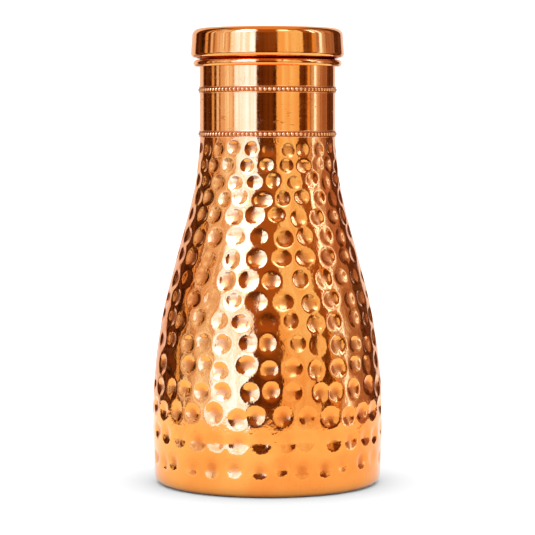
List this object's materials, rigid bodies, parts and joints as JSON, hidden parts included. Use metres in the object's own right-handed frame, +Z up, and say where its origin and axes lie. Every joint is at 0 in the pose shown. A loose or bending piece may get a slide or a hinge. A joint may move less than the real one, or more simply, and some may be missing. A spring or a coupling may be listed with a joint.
{
  "type": "metal water bottle",
  "caption": "Hammered copper water bottle with a tapering body, straight neck, beaded rings, a collar and a flat screw cap with a silicone ring.",
  "frame": {"origin": "on the table, at the middle of the foot", "axes": "+Z up along the bottle's axis, +X to the right, -Y towards the viewer"},
  "size_m": [0.118, 0.118, 0.2342],
  "materials": {
    "hammered_copper": "hammered and polished copper under clear lacquer",
    "polished_copper": "polished copper with fine turning lines",
    "ring_copper": "polished copper, darker between the beads",
    "cap_copper": "polished copper with fine brushing",
    "inner_copper": "satin copper",
    "base_copper": "satin copper, brazed",
    "silicone": "translucent white food-grade silicone"
  },
  "bodies": {
    "bottle": {"body_shell": "hammered_copper", "base_disc": "base_copper", "neck_tube": "polished_copper", "lower_bead_ring": "ring_copper", "upper_bead_ring": "ring_copper", "collar_ring": "polished_copper"},
    "seal": {"seal_ring": "silicone"},
    "cap": {"cap_shell": "cap_copper", "inner_cap": "inner_copper"}
  },
  "joints": [
    {"name": "cap_rise", "type": "slide", "parent": "bottle", "child": "seal", "axis": [0, 0, 1], "range_m": [0, 0.0135]},
    {"name": "cap_turn", "type": "hinge", "parent": "seal", "child": "cap", "pos_m": [0, 0, 0.226], "axis": [0, 0, 1], "range_deg": [0, 1080]}
  ],
  "couplings": [
    {"joint": "cap_rise", "follows": "cap_turn", "m_per_rad": 0.0007162}
  ]
}
